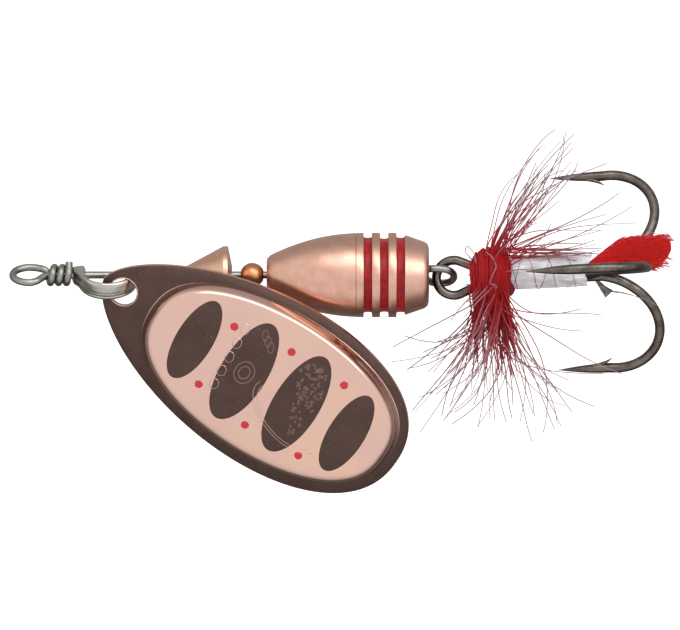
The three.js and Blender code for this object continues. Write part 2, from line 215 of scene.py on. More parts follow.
def dark_copper(n, rubbed=0.0):
    """Copper etched dark brown, grainy, worn to bare copper in specks; rubbed lightens it all."""
    clouds = n.noise(0.5, 5.0, 0.6)
    grains = n.noise(14.0, 3.0, 0.7)
    specks = n.noise(4.6, 2.0, 0.6)
    colour = n.mix(n.ramp(clouds, 0.35, 0.65), tint(84, 61, 54), tint(70, 51, 46))
    colour = n.mix(n.ramp(grains, 0.35, 0.75, 0.0, 0.5), colour, tint(102, 76, 67))
    colour = n.mix(n.ramp(specks, 0.69, 0.75, 0.0, 0.6), colour, tint(178, 134, 118))
    return {"Base Color": n.mix(rubbed, colour, tint(176, 142, 128)), "Metallic": 0.55,
            "Roughness": n.ramp(grains, 0.3, 0.7, 0.42, 0.6), "Normal": n.bump(grains, 0.006, 0.6)}


def red_enamel(n):
    pool = n.noise(1.4, 3.0, 0.5)
    dust = n.noise(16.0, 2.0, 0.6)
    return {"Base Color": n.mix(n.ramp(pool, 0.35, 0.65), tint(168, 12, 22), tint(128, 6, 14)),
            "Roughness": n.ramp(dust, 0.3, 0.7, 0.25, 0.42), "Specular IOR Level": 0.3,
            "Normal": n.bump(pool, 0.03, 0.5, n.bump(dust, 0.003, 0.4))}


def dot_paint(n):
    pool = n.noise(6.0, 3.0, 0.6)
    return {"Base Color": n.mix(pool, tint(214, 48, 62), tint(176, 26, 44)),
            "Roughness": n.ramp(pool, 0.3, 0.7, 0.3, 0.5), "Normal": n.bump(pool, 0.01, 0.5)}


def dyed_fibre(n, root, middle, tip, alpha_tip=1.0):
    """Dyed hackle: strong at the root, fading to a thin greyish tip along each barb."""
    along = n.node("Attribute", {}, attribute_name="along").outputs["Fac"]
    fleck = n.noise(4.5, 4.0, 0.7)
    wander = n.calc("ADD", along, n.ramp(fleck, 0.3, 0.7, -0.16, 0.16))
    colour = n.mix(n.ramp(wander, 0.0, 0.42), root, middle)
    return {"Base Color": n.mix(n.ramp(wander, 0.36, 0.8), colour, tip),
            "Roughness": n.ramp(fleck, 0.3, 0.7, 0.4, 0.6), "Specular IOR Level": 0.2,
            "Alpha": n.ramp(along, 0.5, 1.0, 1.0, alpha_tip), "Normal": n.bump(fleck, 0.01, 0.4)}


def packed_fibre(n):
    """Barbs and thread wound tight: dark red streaks running round the shank."""
    streaks = n.noise(1.0, 5.0, 0.7, (9, 0.7, 0.7))
    clumps = n.noise(1.0, 3.0, 0.6, (1.6, 0.4, 0.4))
    colour = n.mix(n.ramp(streaks, 0.3, 0.7), tint(80, 6, 10), tint(152, 16, 22))
    return {"Base Color": n.mix(n.ramp(clumps, 0.45, 0.7, 0.0, 0.6), colour, tint(100, 8, 14)),
            "Roughness": 0.6, "Specular IOR Level": 0.2, "Normal": n.bump(streaks, 0.09, 0.9)}


def red_thread(n):
    twist = n.noise(1.0, 4.0, 0.7, (6, 6, 6))
    return {"Base Color": n.mix(twist, tint(110, 16, 22), tint(168, 34, 40)),
            "Roughness": n.ramp(twist, 0.3, 0.7, 0.5, 0.7), "Normal": n.bump(twist, 0.02, 0.6)}


def clear_sleeve(n):
    """Thin milky tube: satin, half see-through, with faint smears."""
    smear = n.noise(1.0, 4.0, 0.6, (0.5, 2.4, 2.4))
    fine = n.noise(10.0, 2.0, 0.5)
    return {"Base Color": n.mix(n.ramp(smear, 0.35, 0.65), tint(242, 240, 242), tint(202, 195, 200)),
            "Roughness": n.ramp(smear, 0.3, 0.7, 0.2, 0.42), "Alpha": n.ramp(smear, 0.38, 0.64, 0.86, 0.66),
            "Coat Weight": 0.4, "Normal": n.bump(smear, 0.05, 0.5, n.bump(fine, 0.004, 0.4))}


def feather_red(n):
    barbs = n.noise(1.0, 5.0, 0.7, (1.3, 9, 5))
    return {"Base Color": n.mix(n.ramp(barbs, 0.3, 0.7), tint(146, 5, 4), tint(196, 20, 13)),
            "Roughness": 0.75, "Specular IOR Level": 0.2, "Normal": n.bump(barbs, 0.08, 0.9)}


def quill_horn(n):
    layers = n.noise(1.0, 4.0, 0.6, (3, 3, 3))
    return {"Base Color": n.mix(n.ramp(layers, 0.42, 0.6), tint(44, 41, 37), tint(126, 119, 108)),
            "Roughness": n.ramp(layers, 0.3, 0.7, 0.3, 0.55), "Normal": n.bump(layers, 0.02, 0.6)}


def pale_floor(n):
    grain = n.noise(0.6, 2.0, 0.5)
    return {"Base Color": n.mix(grain, (0.52, 0.52, 0.515, 1), (0.49, 0.49, 0.49, 1)), "Roughness": 0.9,
            "Specular IOR Level": 0.0, "Emission Color": (1, 1, 1, 1), "Emission Strength": 0.8}


FINISH = {
    "steel": material("steel", metal, tint(172, 170, 165), tint(108, 106, 102), 0.32, (1.2, 5, 5),
                      0.004, 0.5),
    "clevis": material("clevis_steel", metal, tint(208, 204, 196), tint(140, 136, 128), 0.24, (6, 1.5, 6),
                       0.003, 0.35),
    "gunmetal": material("gunmetal", metal, tint(128, 120, 113), tint(66, 58, 54), 0.25, (1.5, 4, 4), 0.005,
                         0.7, tint(140, 120, 108)),
    "body": material("body_copper", turned_copper, tint(233, 187, 167), tint(188, 131, 110), 0.3),
    "bright": material("cone_copper", turned_copper, tint(240, 194, 166), tint(200, 146, 120), 0.26),
    "bead": material("bead_copper", metal, tint(226, 164, 120), tint(176, 112, 76), 0.33, (5, 5, 5),
                     0.004, 0.5),
    "panel": material("panel_copper", panel_copper),
    "dark": material("dark_copper", dark_copper),
    "stripe": material("dark_stripe", dark_copper),
    "raised": material("rubbed_relief", dark_copper, 0.55),
    "bare": material("bare_copper", metal, tint(232, 186, 166), tint(190, 136, 114), 0.25, (4, 4, 4),
                     0.004, 0.4),
    "enamel": material("red_enamel", red_enamel),
    "dot": material("dot_paint", dot_paint),
    "thread": material("thread_red", red_thread),
    "packed": material("packed_fibre", packed_fibre),
    "hackle": material("hackle_fibre", dyed_fibre, tint(164, 12, 20), tint(154, 50, 60),
                       tint(150, 126, 131), 0.95),
    "skirt": material("skirt_fibre", dyed_fibre, tint(160, 10, 15), tint(128, 8, 14), tint(150, 46, 54)),
    "sleeve": material("clear_sleeve", clear_sleeve),
    "feather": material("feather_red", feather_red),
    "fringe": material("feather_fringe", dyed_fibre, tint(196, 16, 12), tint(190, 40, 36),
                       tint(178, 118, 122), 0.6),
    "horn": material("quill_horn", quill_horn),
    "floor": material("pale_floor", pale_floor),
}


# Shapes: points in millimetres and faces, gathered before they become one mesh.

class Shape:
    def __init__(self):
        self.points = []
        self.faces = []
        self.finish = []
        self.along = []

    def add(self, points, faces, finish=0, along=0.0):
        """Adds points and faces; finish is a material's place in the piece's list, along runs 0 to 1."""
        start = len(self.points)
        self.points.extend(tuple(point) for point in points)
        self.faces.extend([index + start for index in face] for face in faces)
        if isinstance(finish, int):
            finish = [finish] * len(faces)
        self.finish.extend(finish)
        if isinstance(along, float):
            along = [along] * len(points)
        self.along.extend(along)

    def mesh(self, name, finishes, sharp=38):
        made = bpy.data.meshes.new(name)
        made.from_pydata([[value * MM for value in point] for point in self.points], [], self.faces)
        for finish in finishes:
            made.materials.append(FINISH[finish])
        made.polygons.foreach_set("material_index", self.finish)
        made.polygons.foreach_set("use_smooth", [True] * len(self.faces))
        spread = made.attributes.new("along", "FLOAT", "POINT")
        spread.data.foreach_set("value", self.along)
        made.update()
        made.set_sharp_from_angle(angle=sharp * DEGREE)
        return made


def piece(name, shape, finishes, body, stands_for=(), sharp=38):
    """A finished piece that rides on a CAD body and, where it stands for CAD nodes, hides them."""
    made = bpy.data.objects.new(name, shape.mesh(name, finishes, sharp))
    bpy.context.scene.collection.objects.link(made)
    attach(made, body)
    if stands_for:
        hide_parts(*stands_for)
    return made


def smooth(points, count):
    """Evenly spaced points on a centripetal Catmull-Rom curve through a few given points."""
    knots = [Vector(point) for point in points]
    knots = [2 * knots[0] - knots[1], *knots, 2 * knots[-1] - knots[-2]]
    dense = []
    steps = 16
    for a, b, c, d in zip(knots, knots[1:], knots[2:], knots[3:]):
        before, here, after = (max((q - p).length ** 0.5, 1e-6) for p, q in ((a, b), (b, c), (c, d)))
        leave = ((b - a) / before - (c - a) / (before + here) + (c - b) / here) * here
        arrive = ((c - b) / here - (d - b) / (here + after) + (d - c) / after) * here
        for step in range(steps):
            t = step / steps
            dense.append(b * (2 * t**3 - 3 * t**2 + 1) + leave * (t**3 - 2 * t**2 + t)
                         + c * (3 * t**2 - 2 * t**3) + arrive * (t**3 - t**2))
    dense.append(knots[-2])
    path = np.array([tuple(point) for point in dense])
    far = np.concatenate([[0], np.cumsum(np.linalg.norm(np.diff(path, axis=0), axis=1))])
    even = np.linspace(0, far[-1], count)
    return np.stack([np.interp(even, far, path[:, axis]) for axis in range(3)], axis=1)


def tube_points(path, radius, sides):
    """Rings of points round a path, untwisted; radius is one number, or one for each point."""
    path = np.asarray(path, float)
    radius = np.broadcast_to(np.asarray(radius, float), (len(path),))
    ahead = np.vstack([path[1:], path[-1:]])
    behind = np.vstack([path[:1], path[:-1]])
    tangents = ahead - behind
    tangents /= np.maximum(np.linalg.norm(tangents, axis=1), 1e-9)[:, None]
    angles = np.arange(sides) * 2 * pi / sides
    across = np.array((0.31, 0.52, 0.8))
    rings = []
    for point, tangent, size in zip(path, tangents, radius):
        across = across - tangent * across.dot(tangent)
        across /= np.linalg.norm(across)
        up = np.cross(tangent, across)
        rings.append(point + size * (np.cos(angles)[:, None] * across + np.sin(angles)[:, None] * up))
    return rings


def tube_faces(count, sides, closed=False):
    """Quads between rings of points; closed joins the last ring to the first."""
    faces = []
    for ring in range(count if closed else count - 1):
        for side in range(sides):
            a = ring * sides + side
            b = ring * sides + (side + 1) % sides
            step = sides if ring < count - 1 else -ring * sides
            faces.append([a, a + step, b + step, b])
    return faces


def add_loft(shape, rings, finish=0, along=None):
    """Skin over rings of equal count, its ends closed with fans.

    finish is one number, or one for each gap between rings; along is one value for each ring.
    """
    sides = len(rings[0])
    points = [point for ring in rings for point in ring]
    faces = tube_faces(len(rings), sides)
    kinds = [finish] * len(faces) if isinstance(finish, int) else [k for k in finish for _ in range(sides)]
    share = [0.0] * len(points) if along is None else [value for value in along for _ in range(sides)]
    last = (len(rings) - 1) * sides
    for ring, start in ((rings[0], 0), (rings[-1], last)):
        centre = len(points)
        points.append(np.mean([tuple(point) for point in ring], axis=0))
        share.append(share[start])
        for side in range(sides):
            a, b = start + side, start + (side + 1) % sides
            faces.append([a, b, centre] if start == 0 else [b, a, centre])
        kinds.extend([kinds[0] if start == 0 else kinds[-1]] * sides)
    shape.add(points, faces, kinds, share)


def add_tube(shape, path, radius, sides=16, finish=0, along=None):
    add_loft(shape, tube_points(path, radius, sides), finish, along)


def cosd(degrees):
    return cos(degrees * DEGREE)


def sind(degrees):
    return sin(degrees * DEGREE)


def ring_of(count, spot, turn=2 * pi):
    """What spot gives for evenly spaced angles over one turn, in radians unless turn says otherwise."""
    return [spot(turn * k / count) for k in range(count)]


def radial(angle, length=1.0):
    """A vector in the YZ plane: angle 0 along +Y, turning toward +Z."""
    return Vector((0, length * cosd(angle), length * sind(angle)))


def off_axis(x, direction, distance):
    return Vector((x, 0, 0)) + direction * distance


def soften(profile, radius, steps=4):
    """A closed [x, radius] profile with each corner rounded by up to radius."""
    rounded = []
    count = len(profile)
    for k in range(count):
        before, corner, after = (Vector(profile[(k + shift) % count]) for shift in (-1, 0, 1))
        reach = min(radius, (before - corner).length * 0.45, (after - corner).length * 0.45)
        start = corner + (before - corner).normalized() * reach
        end = corner + (after - corner).normalized() * reach
        for step in range(steps + 1):
            t = step / steps
            rounded.append(start * (1 - t) ** 2 + corner * 2 * t * (1 - t) + end * t**2)
    return [(point.x, point.y) for point in rounded]


def add_turned(shape, profile, segments=96, uneven=None):
    """A body turned about X from a closed [x, radius] profile; uneven gives the radius at an angle."""
    points = []
    for x, radius in profile:
        for k in range(segments):
            angle = 2 * pi * k / segments
            size = uneven(radius, angle) if uneven else radius
            points.append((x, size * cos(angle), size * sin(angle)))
    shape.add(points, tube_faces(len(profile), segments, closed=True))


# The shaft wire.

def wrap_path():
    """The wraps behind the eye, from the cut tag end forward."""
    first = 0.2
    steps = 30
    coil = []
    for k in range(int((WRAPS["turns"] - first) * steps) + 1):
        turn = first + k / steps
        x = WRAPS["start"] + WRAPS["pitch"] * turn
        coil.append(off_axis(x, radial(-360 * turn), WRAPS["radius"]))
    heading = coil[-1] - coil[-2]
    heading.x = 0
    heading.normalize()
    coil.extend(coil[-1] + heading * WRAPS["tag"] * share for share in (0.5, 1.0))
    return [tuple(point) for point in reversed(coil)]


def eye_path():
    """The closed eye, from the wraps round its front and back to the axis."""
    away = radial(-EYE["tilt"])
    leave = [(1.25, 0.72), (0.75, 0.9)]
    front = [(EYE["length"] * cosd(angle), sind(angle)) for angle in range(90, 271, 18)]
    arrive = [(0.6, -0.8), (1.1, -0.36), (1.5, -0.1), (1.95, 0)]
    return smooth([off_axis(x, away, EYE["width"] * share) for x, share in leave + front + arrive], 90)


def rear_loop_path():
    """The loop behind the body, back to its tag end beside the shaft."""
    out = radial(LOOP["tilt"])
    root, width = LOOP["root"], LOOP["width"]

    def at(x, distance):
        return off_axis(x, out, distance) + Vector((0, LOOP["offset"] * (x - root) / 3, 0))

    bow = LOOP["end"] - 1.1
    leave = [Vector((root - 0.6, 0, 0)), at(root, -0.12), at(root + 0.7, -width * 0.6),
             at(root + 1.35, -width)]
    turn = [at(bow + 1.1 * cosd(angle), width * sind(angle))
            for angle in (-90 + 22.5 * step for step in range(9))]
    arrive = [at(root + 1.35, width), at(root + 0.7, width * 0.85), at(root, width * 0.66),
              off_axis(root - 0.5, out, 0.78), off_axis(LOOP["tag"], out, 0.78)]
    return smooth(leave + turn + arrive, 120)


def make_shaft_wire():
    """One wire from the wraps' tag end, round the eye, along the shaft and round the rear loop."""
    shape = Shape()
    path = np.vstack([wrap_path(), eye_path(), rear_loop_path()])
    add_tube(shape, path, WIRE, 20)
    piece("shaft_wire_fine", shape, ["steel"], "shaft", ["shaft_wire"])


# The clevis: a strip folded to a tube with its lips meeting along the outer face, and flattened ears.

def clevis_path(centre_x):
    """The strip's centre line as (x, height above the shaft), up one leg, over the bow and down the other."""
    rise, radius, foot = CLEVIS["rise"], CLEVIS["radius"], CLEVIS["foot"]
    spread = tan(CLEVIS["splay"] * DEGREE)
    heights = [-foot + (rise + foot) * step / 8 for step in range(8)]
    up = [(centre_x - radius - (rise - height) * spread, height) for height in heights]
    over = [(centre_x + radius * cosd(angle), rise + radius * sind(angle)) for angle in range(180, -1, -6)]
    down = [(centre_x + radius + (rise - height) * spread, height) for height in reversed(heights)]
    return up + over + down


def clevis_section(slit, ear):
    """Half-unit section of the folded strip: across, through; the lips' slit opens on the outer face."""
    bulge = 0.32 - 0.22 * ear

    def lip(a):
        turned = sind(a)
        return copysign(abs(turned) ** (1 - 0.6 * ear), turned)

    round_side = [(-1 + bulge * (1 - cosd(a)), lip(a)) for a in range(-88, 91, 22)]
    outer = [(-0.45, 1.0), (-0.1, 1.0), (0.12, 1.0), (0.22, 1.0 - 0.12 * slit), (0.28, 1.0 - 0.9 * slit),
             (0.5, 1.0 - 0.9 * slit), (0.56, 1.0 - 0.12 * slit), (0.62, 1.0 - 0.02 * slit)]
    other_side = [(1 - bulge * (1 - cosd(a)), lip(a)) for a in range(88, -91, -22)]
    return round_side + outer + other_side + [(0.3, -1.0), (-0.3, -1.0)]


def make_clevis():
    low, high = (corner.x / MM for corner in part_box("clevis"))
    centre_x = (low + high) / 2
    bow = Vector((0, -sind(CLEVIS["lean"]), cosd(CLEVIS["lean"])))
    side = Vector((1, 0, 0)).cross(bow)
    path = clevis_path(centre_x)
    rings = []
    for k, (x, height) in enumerate(path):
        ahead = path[min(k + 1, len(path) - 1)]
        behind = path[max(k - 1, 0)]
        normal = Vector((behind[1] - ahead[1], ahead[0] - behind[0])).normalized()
        ear = min(1.0, max(0.0, (CLEVIS["rise"] + 0.75 - height) / 1.1))
        ear = ear * ear * (3 - 2 * ear)
        end = sqrt(1 - (height / CLEVIS["foot"]) ** 2 * 0.7) if height < 0 else 1.0
        half_width = (CLEVIS["width"] + (CLEVIS["ear"] - CLEVIS["width"]) * ear) * end / 2
        half_thick = (CLEVIS["thick"] + (CLEVIS["ear_thick"] - CLEVIS["thick"]) * ear) / 2
        ring = []
        aside = CLEVIS["aside"] * (1 - ear)
        for across, through in clevis_section(0.85 * (1 - ear), ear):
            push = half_thick * through
            ring.append(Vector((x + normal.x * push, 0, 0)) + bow * (height + normal.y * push)
                        + side * (half_width * across + aside))
        rings.append(ring)
    shape = Shape()
    add_loft(shape, rings)
    drill = Shape()
    add_tube(drill, [(x, 0, 0) for x in (0, 5, 10, 14)], CLEVIS["hole"], 32)
    made = piece("clevis_fine", shape, ["clevis"], "clevis", ["clevis"], 50)
    cut_with(made, drill, ["clevis"], 50)


def cut_with(made, tool_shape, finishes, sharp):
    """Takes the tool's shape out of a piece and keeps the result as its mesh."""
    tool = bpy.data.objects.new("cutting_tool", tool_shape.mesh("cutting_tool", finishes, sharp))
    bpy.context.scene.collection.objects.link(tool)
    cut = made.modifiers.new("cut", "BOOLEAN")
    cut.operation = "DIFFERENCE"
    cut.solver = "EXACT"
    cut.material_mode = "TRANSFER"
    cut.object = tool
    bpy.context.view_layer.update()
    graph = bpy.context.evaluated_depsgraph_get()
    result = bpy.data.meshes.new_from_object(made.evaluated_get(graph))
    made.modifiers.remove(cut)
    made.data = result
    made.data.set_sharp_from_angle(angle=sharp * DEGREE)
    bpy.data.objects.remove(tool)


# The blade, in its own frame: hole centre at the origin, X to the tip, Z out of the convex face.

def blade_matrix():
    yaw = BLADE["yaw"] * DEGREE
    out = Vector((-BLADE["slope_x"], -BLADE["slope_y"], 1)).normalized()
    rise = BLADE["slope_x"] * cos(yaw) + BLADE["slope_y"] * sin(yaw)
    to_tip = Vector((cos(yaw), sin(yaw), rise)).normalized()
    left = out.cross(to_tip)
    turned = Matrix((to_tip, left, out)).transposed().to_4x4()
    return Matrix.Translation(BLADE["hole"]) @ turned


BLADE_FRAME = blade_matrix()


def on_blade(point):
    """A point of the blade's own frame, put in the row frame."""
    return tuple(BLADE_FRAME @ Vector(point))


def leaf_point(outline, angle):
    """A point of a leaf outline in the blade's own plane: angle 0 at its front, pi at its tip."""
    along = (1 - cos(angle)) / 2
    half = outline["size"] * along ** outline["nose"] * (1 - along) ** outline["tail"]
    return Vector((outline["front"] + (outline["rear"] - outline["front"]) * along,
                   outline["aside"] + copysign(half, sin(angle))))


PANEL_CENTRE = Vector(((PANEL["front"] + PANEL["rear"]) / 2, PANEL["aside"]))


def dome_height(share):
    """Height of the convex face at a share of the way from the panel's centre to its edge."""
    crown = 1 - 0.34 * share**2 - 0.66 * share**46
    return BLADE["rim_rise"] + BLADE["step"] + BLADE["dome"] * crown


def panel_reach():
    """The panel's outline as directions and distances from its centre, to look up any point's share."""
    directions, distances = [], []
    for k in range(721):
        spoke = leaf_point(PANEL, 2 * pi * k / 720 + 1e-4) - PANEL_CENTRE
        directions.append(atan2(spoke.y, spoke.x))
        distances.append(spoke.length)
    order = np.argsort(directions)
    return np.array(directions)[order], np.array(distances)[order]


PANEL_DIRECTIONS, PANEL_DISTANCES = panel_reach()


def face_height(u, v):
    """Height of the panel's face over a point of the blade's own plane."""
    spoke = Vector((u, v)) - PANEL_CENTRE
    edge = np.interp(atan2(spoke.y, spoke.x), PANEL_DIRECTIONS, PANEL_DISTANCES, period=2 * pi)
    return dome_height(min(1.0, spoke.length / edge))


def step_toward(start, end, distance):
    return start + (end - start).normalized() * distance


def blade_rings(segments):
    """Rings over the convex face from near the panel's centre out to the rim, each with its finish."""
    angles = [2 * pi * (k + 0.5) / segments for k in range(segments)]
    panel = [leaf_point(PANEL, angle) for angle in angles]
    rim = [leaf_point(LEAF, angle) for angle in angles]
    foot = [step_toward(a, b, BLADE["wall"]) for a, b in zip(panel, rim)]
    rings, kinds = [], []

    def add(height, points, kind):
        rings.append([Vector((point.x, point.y, height)) for point in points])
        kinds.append(kind)

    for share in [0.04, 0.12, 0.22, 0.32, 0.42, 0.52, 0.61, 0.69, 0.76, 0.82, 0.87, 0.9, 0.925, 0.942, 0.953,
                  0.961, 0.968, 0.974, 0.98, 0.985, 0.99, 0.995, 1.0]:
        add(dome_height(share), [PANEL_CENTRE.lerp(point, share) for point in panel], 1)
    edge = BLADE["rim_rise"] + BLADE["step"]
    for out, drop in ((0.15, 0.12), (0.35, 0.45), (0.6, 0.8), (0.85, 0.96), (1.0, 1.0)):
        kind = 1 if out < 0.8 else 0
        add(edge - BLADE["step"] * drop, [a.lerp(b, out) for a, b in zip(panel, foot)], kind)
    for out in (0.2, 0.5, 0.8, 0.95):
        add(BLADE["rim_rise"] * (1 - out**1.5 * 0.85), [a.lerp(b, out) for a, b in zip(foot, rim)], 0)
    add(0.04, [step_toward(b, a, 0.03) for a, b in zip(foot, rim)], 2)
    add(-0.05, rim, 2)
    return rings, kinds


def make_blade():
    """The pressed blade: face and underside lofted as one skin, then pierced for the clevis."""
    top, kinds = blade_rings(192)
    drop = Vector((0, 0, BLADE["thick"]))
    under = [[point - drop for point in ring] for ring in reversed(top[:-2])]
    under.insert(0, [point + Vector((0, 0, -BLADE["thick"] + 0.18)) for point in top[-1]])
    shape = Shape()
    rings = [[on_blade(point) for point in ring] for ring in top + under]
    add_loft(shape, rings, kinds + [2] * (len(under) - 1))
    made = piece("blade_fine", shape, ["dark", "panel", "bare"], "blade", ["blade"], 32)
    lip = hole_lip(made)
    tool = Shape()
    slope = Matrix.Rotation(-atan(BLADE["hole_slope"]), 4, "Y")
    radius = BLADE["hole_radius"]
    add_loft(tool, [ring_of(72, lambda angle: on_blade(slope @ Vector((
        radius * cos(angle), radius * sin(angle), height)))) for height in (2.0, -2.0)])
    cut_with(made, tool, ["bare"], 32)
    piece("blade_hole_lip", lip, ["bare"], "blade", (), 60)


def hole_lip(blade):
    """The burr rolled round the hole's edge, laid on the blade's own surface."""
    bpy.context.view_layer.update()
    outward = (BLADE_FRAME.to_3x3() @ Vector((0, 0, 1))).normalized()
    reach = BLADE["hole_radius"] + 0.05

    def on_face(angle):
        over = Vector(on_blade((reach * cos(angle), reach * sin(angle), 3.0)))
        return blade.ray_cast(over * MM, -outward)[1] / MM - outward * 0.02

    path = ring_of(72, on_face)
    rings = tube_points(path + path[:1], 0.055, 10)[:-1]
    lip = Shape()
    lip.add([point for ring in rings for point in ring], tube_faces(72, 10, closed=True))
    return lip


# Stripes as centre, length and width, and dots as centres, both in the blade's own plane.
STRIPES = [((7.55, 0.5), 8.6, 3.4), ((12.86, 0.5), 10.7, 4.3), ((18.42, 0.52), 10.7, 4.3),
           ((23.68, 0.68), 8.5, 3.4)]
STRIPE_LEAN = 3
DOT_SIZE = 0.76
DOTS = [(9.83, 3.66), (15.38, 4.55), (20.99, 4.51), (10.13, -2.87), (15.66, -3.82), (21.22, -3.61)]


def add_patch(shape, centre, along_size, across_size, lean, lift, ripple=0.0):
    """A thin oval skin that lies on the panel, its edge turned down into the face."""
    major = Vector((-sind(lean), cosd(lean)))
    minor = Vector((major.y, -major.x))
    phases = [rng.uniform(0, 2 * pi) for _ in range(3)]
    rings = []
    for share in (0.03, 0.2, 0.4, 0.55, 0.68, 0.78, 0.86, 0.92, 0.965, 1.0):
        height = lift if share < 1 else -0.02

        def spot(angle):
            rough = 1 + ripple * sum(sin((3 + 2 * n) * angle + phase) for n, phase in enumerate(phases))
            flat = (Vector(centre) + major * (along_size / 2 * share * rough * sin(angle))
                    + minor * (across_size / 2 * share * rough * cos(angle)))
            return on_blade((flat.x, flat.y, face_height(flat.x, flat.y) + height))

        rings.append(ring_of(72, spot))
    add_loft(shape, rings)


def make_stripes_and_dots():
    stripes = Shape()
    for centre, length, width in STRIPES:
        add_patch(stripes, centre, length, width, STRIPE_LEAN, 0.025)
    piece("blade_dark_stripes", stripes, ["stripe"], "blade")
    dots = Shape()
    for centre in DOTS:
        add_patch(dots, centre, DOT_SIZE, DOT_SIZE, 0, 0.03, 0.02)
    piece("blade_red_dots", dots, ["dot"], "blade")


def make_embossing():
    """Plain raised ornament pressed into the face: rings, ovals, sweeping arcs and a stippled patch."""
    shape = Shape()

    def ridge(path, radius, finish):
        lifted = [on_blade((u, v, face_height(u, v) + 0.02 - radius * 0.35)) for u, v in path]
        add_tube(shape, lifted, radius, 8, finish)

    def oval(centre, half_u, half_v, radius, finish, turn=0.0, start=0, end=360):
        path = []
        for step in range(41):
            angle = (start + (end - start) * step / 40) * DEGREE
            u, v = half_u * cos(angle), half_v * sin(angle)
            path.append((centre[0] + u * cos(turn) - v * sin(turn),
                         centre[1] + u * sin(turn) + v * cos(turn)))
        ridge(path, radius, finish)

    for size in (0.5, 0.88):
        oval((12.9, 0.5), size, size * 1.25, 0.06, 0)
    for k in range(5):
        oval((10.75 + 0.12 * k, 4.0 - 1.5 * k), 0.4, 0.52, 0.03, 1, 0.2)
    for k in range(3):
        oval((12.6 + 0.5 * k, 4.55 - 0.35 * k), 0.28, 0.5, 0.04, 0, 0.5)
    for size in (1.0, 1.13):
        oval((18.4, -0.9), 3.7 * size, 2.0 * size, 0.028, 1, -0.35, 175, 350)
    for _ in range(COUNTS["stipple"]):
        u, v = rng.uniform(16.6, 20.4), rng.uniform(-2.6, 4.8)
        inside = ((u - 18.27) / 1.8) ** 2 + ((v - 0.52) / 4.6) ** 2 < 1
        if inside and u - 17.0 > 0.42 * (3.2 - v):
            oval((u, v), rng.uniform(0.05, 0.1), rng.uniform(0.07, 0.16), 0.03, 0, rng.uniform(0, 3))
    piece("blade_embossing", shape, ["raised", "panel"], "blade")


# The turned pieces on the shaft.

def make_cone():
    low, high = (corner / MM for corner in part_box("cone"))
    tip, back, radius = low.x, high.x, high.y
    shape = Shape()
    profile = [(tip, BORE), (tip, CONE["tip_radius"]), (CONE["shoulder"], radius),
               (CONE["shoulder"] + CONE["land"], radius), (back, CONE["back_radius"]), (back, BORE)]
    add_turned(shape, soften(profile, 0.05))
    piece("cone_fine", shape, ["bright"], "cone", ["cone"], 25)


def make_bead():
    low, high = (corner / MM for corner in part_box("bead"))
    centre, radius = (low.x + high.x) / 2, high.y
    rim = asin(BORE / radius)
    profile = []
    for step in range(29):
        angle = rim + (pi - 2 * rim) * step / 28
        profile.append((centre - radius * cos(angle), radius * sin(angle)))
    profile += [(centre + 0.4, BORE), (centre - 0.4, BORE)]
    shape = Shape()
    add_turned(shape, profile, 64)
    piece("bead_fine", shape, ["bead"], "bead", ["bead"], 45)


def body_profile():
    low, high = (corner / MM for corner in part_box("body"))
    front, back, land = low.x, high.x, high.y
    curve = smooth([(x, radius, 0) for x, radius in NOSE], 40)
    profile = [(front + 0.02, BORE), (front, NOSE[0][1])]
    profile += [(x, radius) for x, radius, _ in curve[1:]]
    scribe = 29.3
    profile += [(scribe, land - 0.03), (scribe + 0.04, land - 0.08), (scribe + 0.08, land - 0.02)]
    edge = 0.06
    for k in range(GROOVE["count"]):
        start = GROOVE["first"] + k * GROOVE["pitch"]
        end = start + GROOVE["width"]
        bottom = land - GROOVE["depth"]
        last = k == GROOVE["count"] - 1
        top = REAR["radius"] if last else land
        profile += [(start - edge, land), (start - 0.015, land - 0.02), (start, land - edge), (start, bottom)]
        profile += [(end, bottom), (end, top - edge), (end + 0.015, top - 0.02), (end + edge, top)]
    profile += smooth([(35.35, 3.06, 0), *[(x, r, 0) for x, r in REAR["edge"]]], 12)[:, :2].tolist()
    inner = back - REAR["recess"]
    profile += [(back, REAR["recess_radius"] + 0.1), (back - 0.1, REAR["recess_radius"])]
    profile += [(inner, REAR["recess_radius"]), (inner, BORE)]
    return [(float(x), float(radius)) for x, radius in profile]


def make_body():
    shape = Shape()
    add_turned(shape, body_profile(), 128)
    piece("body_fine", shape, ["body"], "body", ["body"], 28)


def make_groove_paint():
    """Enamel run into each groove, a little proud at the walls and uneven round the body."""
    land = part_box("body")[1].y / MM
    shape = Shape()
    bottom = land - GROOVE["depth"] + 0.004
    top = bottom + GROOVE["paint"]
    for k in range(GROOVE["count"]):
        start = GROOVE["first"] + k * GROOVE["pitch"] + 0.004
        end = start + GROOVE["width"] - 0.008
        phase = rng.uniform(0, 6)

        def uneven(radius, angle):
            swell = 0.03 * sin(2 * angle + phase) + 0.015 * sin(7 * angle + phase) + 0.02
            return max(bottom, radius + swell)

        crest = [(0, 0.1), (0.04, 0.05), (0.12, 0.015), (0.25, 0)]
        profile = [(start, bottom), *[(start + inset, top + rise) for inset, rise in crest],
                   *[(end - inset, top + rise) for inset, rise in reversed(crest)], (end, bottom)]
        add_turned(shape, profile, 128, uneven)
    piece("groove_paint", shape, ["enamel"], "body", sharp=50)


# The treble, in its own frame: ring centre at the origin, X along the shanks to the bends.

def treble_matrix():
    yaw = Matrix.Rotation(TREBLE["yaw"] * DEGREE, 4, "Z")
    pitch = Matrix.Rotation(-TREBLE["pitch"] * DEGREE, 4, "Y")
    roll = Matrix.Rotation(TREBLE["roll"] * DEGREE, 4, "X")
    return Matrix.Translation(TREBLE["at"]) @ (yaw @ pitch @ roll)


